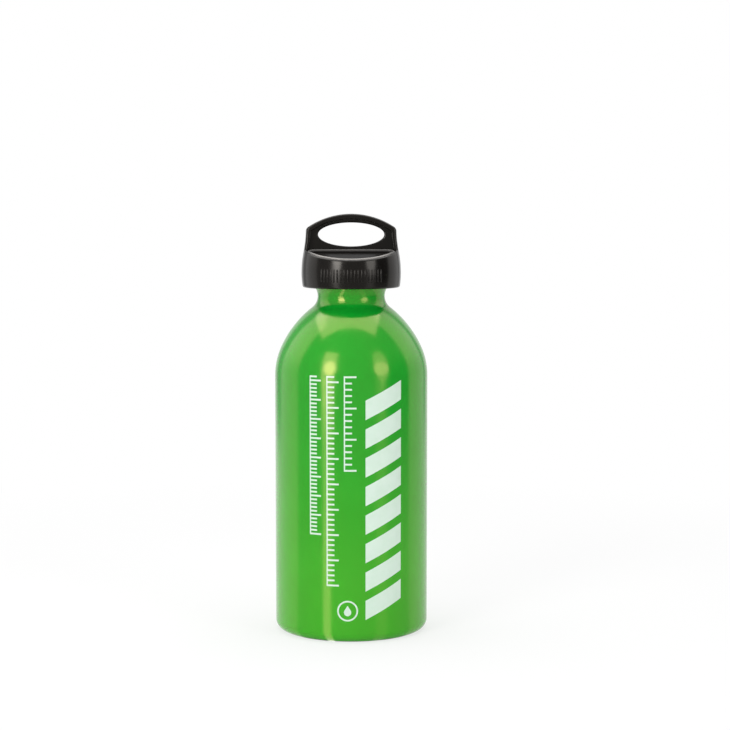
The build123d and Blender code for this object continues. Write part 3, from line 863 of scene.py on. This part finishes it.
def mirrorLevel(right, front, rise, near):
    # from directions to the right, to the front and up; near the bottle, the gaps behind the panels close
    m = mirrorSizes
    bearing = right.maths("ABSOLUTE").maths("ARCTAN2", front)
    side = right.maths("SIGN")
    onRight = side.maths("MAXIMUM", 0.0)
    shifted = bearing - side * radians(m["shift"])
    started = edge(shifted, m["panelFrom"], m["edge"])
    gap = edge(shifted, m["panelTo"], m["edge"]) * (1.0 - near)
    panel = started * (1.0 - gap) * (1.0 - edge(rise, m["panelTop"], m["edge"]))
    panel = panel * rise.ramp(0.0, radians(m["panelRise"]), m["panelLow"], m["panelHigh"])
    panel = panel * (1.0 - onRight * m["rightLoss"])
    flag = onRight * edge(bearing, m["flagFrom"], m["flagEdge"]) * (1.0 - started) * (1.0 - near)
    flag = flag * rise.ramp(0.0, radians(m["flagRise"]), m["flagLow"], m["flagHigh"])
    back = edge(bearing, m["backFrom"], m["edge"]) * (1.0 - near) * m["back"]
    roof = edge(bearing, m["roofFrom"], m["edge"]) * edge(rise, m["roofRise"], m["roofEdge"]) * m["roof"]
    return m["front"] + panel - flag + back - roof


def rayKinds(tree):
    # whether the camera, a mirroring face or a clear one looks
    ports = addNode(tree, "ShaderNodeLightPath", {}, {}).socket.node.outputs
    return [Wire(tree, ports[name]) for name in ("Is Camera Ray", "Is Glossy Ray", "Is Transmission Ray")]


# Floor: white to the eye, with the bottle's shadow on it. In mirroring faces it carries on what stands round
# it, and a bright band under the lamps of each side, fanned out from a place behind the bottle's wall.

floorSizes = {"reach": 4.0, "paper": (0.9, 0.9, 0.9, 1), "glowShare": 0.72, "plainFrom": 0.16, "plainTo": 0.5,
              "panelFoot": (0.014, -0.0247), "nearTo": 0.5, "farFrom": 1.1, "bandNear": 0.15, "bandFar": 0.62}
floorBands = (  # the levels are those at bandNear and at bandFar
    {"side": -1, "foot": (-0.0009, -0.0212), "from": (31, 4), "to": (43, 5), "levels": (2.8, 1.4)},
    {"side": 1, "foot": (0.0021, -0.0221), "from": (37, 9), "to": (55, 9), "levels": (0.45, 0.45)},
)


def makeFloor():
    s = floorSizes
    reach = s["reach"]
    floorMesh = bpy.data.meshes.new("studioFloor")
    corners = [(-reach, -reach, 0), (reach, -reach, 0), (reach, reach, 0), (-reach, reach, 0)]
    floorMesh.from_pydata(corners, [], [(0, 1, 2, 3)])
    floor = bpy.data.objects.new("studioFloor", floorMesh)
    bpy.context.scene.collection.objects.link(floor)
    material, tree, place = newMaterial("palePaper")
    camera, glossy, through = rayKinds(tree)
    right, back, rise = place.part(0), place.part(1), place.part(2)  # the floor is level, so rise is none
    away = place.length()
    wallX, wallY = s["panelFoot"]
    outward = right.maths("SIGN") * (right.maths("ABSOLUTE") - wallX)
    mirrored = mirrorLevel(outward, wallY - back, rise, away.ramp(s["nearTo"], s["farFrom"], 1.0, 0.0))
    for band in floorBands:
        footX, footY = band["foot"]
        bearing = ((right - footX) * band["side"]).maths("ARCTAN2", footY - back)
        lit = edge(bearing, *band["from"]) * (1.0 - edge(bearing, *band["to"]))
        mirrored = mirrored + lit * away.ramp(s["bandNear"], s["bandFar"], *band["levels"])
    level = 1.0 + glossy * (mirrored - 1.0)
    seen = (camera + glossy + through).maths("MINIMUM", 1.0)
    share = seen * away.ramp(s["plainFrom"], s["plainTo"], s["glowShare"], 1.0)
    paper = addNode(tree, "ShaderNodeBsdfDiffuse", {}, {"Color": s["paper"]})
    glow = addNode(tree, "ShaderNodeEmission", {}, {"Color": (1, 1, 1, 1), "Strength": level})
    showSurface(tree, addNode(tree, "ShaderNodeMixShader", {}, {0: share, 1: paper, 2: glow}))
    floorMesh.materials.append(material)


# World: white to the eye, a dim even light on the bottle, and the surroundings in its mirroring faces

def makeWorld():
    world = bpy.data.worlds.new("studioWorld")
    world.use_nodes = True
    bpy.context.scene.world = world
    tree = world.node_tree
    tree.nodes.clear()
    camera, glossy, through = rayKinds(tree)
    toward = addNode(tree, "ShaderNodeTexCoord", {}, {}, 0)
    mirrored = mirrorLevel(toward.part(0), toward.part(1) * -1, toward.part(2).maths("ARCSINE"), 0.0)
    seen = camera.maths("MAXIMUM", through)
    level = seen + (1.0 - seen) * (glossy * mirrored + (1.0 - glossy) * mirrorSizes["diffuse"])
    background = addNode(tree, "ShaderNodeBackground", {}, {"Color": (1, 1, 1, 1), "Strength": level})
    showSurface(tree, background, "ShaderNodeOutputWorld")


# Lamps: where they stand, what they point at, and their size across and up, but back to front and across for
# softTop, which looks straight down. Level is their brightness in a mirror.

lampSizes = {
    "stripLeft": {"at": (-0.46, -0.66, 0.36), "to": (0.0, 0.0, 0.12), "size": (0.30, 0.74), "level": 3.2},
    "hotLeft": {"at": (-0.41, -0.65, 0.34), "to": (0.0, 0.0, 0.13), "size": (0.26, 0.30), "level": 4.2},
    "softTop": {"at": (-0.065, 0.155, 0.85), "to": (-0.065, 0.155, 0.1), "size": (0.79, 1.03), "level": 2.4},
    "softRight": {"at": (0.63, -0.59, 0.40), "to": (0.0, 0.0, 0.14), "size": (0.36, 0.76), "level": 1.3},
    "hotRight": {"at": (0.62, -0.60, 0.34), "to": (0.0, 0.0, 0.13), "size": (0.36, 0.32), "level": 1.6},
}
roundLamps = ("hotLeft", "softRight", "hotRight")


def makeLamps():
    for name, s in lampSizes.items():
        wide, high = s["size"]
        data = bpy.data.lights.new(name, "AREA")
        data.shape = "ELLIPSE" if name in roundLamps else "RECTANGLE"
        data.size, data.size_y = wide, high
        data.energy = s["level"] * pi * wide * high
        lamp = bpy.data.objects.new(name, data)
        bpy.context.scene.collection.objects.link(lamp)
        lamp.location = s["at"]
        aimX, aimY, aimZ = [b - a for a, b in zip(s["at"], s["to"])]
        lamp.rotation_euler = (atan2(hypot(aimX, aimY), -aimZ), 0, atan2(aimY, aimX) - pi / 2)


cameraSizes = {"at": (0.0, -0.945, 0.2149), "pitch": 5.183, "yaw": 0.405, "lens": 96.22, "sensor": 36,
               "clip": (0.05, 20)}


def makeCamera():
    s = cameraSizes
    data = bpy.data.cameras.new("camera")
    data.lens, data.sensor_width = s["lens"], s["sensor"]
    data.clip_start, data.clip_end = s["clip"]
    camera = bpy.data.objects.new("camera", data)
    bpy.context.scene.collection.objects.link(camera)
    camera.location = s["at"]
    camera.rotation_euler = (radians(90 - s["pitch"]), 0, radians(-s["yaw"]))
    bpy.context.scene.camera = camera


makeFloor()
makeWorld()
makeLamps()
makeCamera()
bpy.context.scene.view_settings.view_transform = "Standard"
print("stage: studio ready")
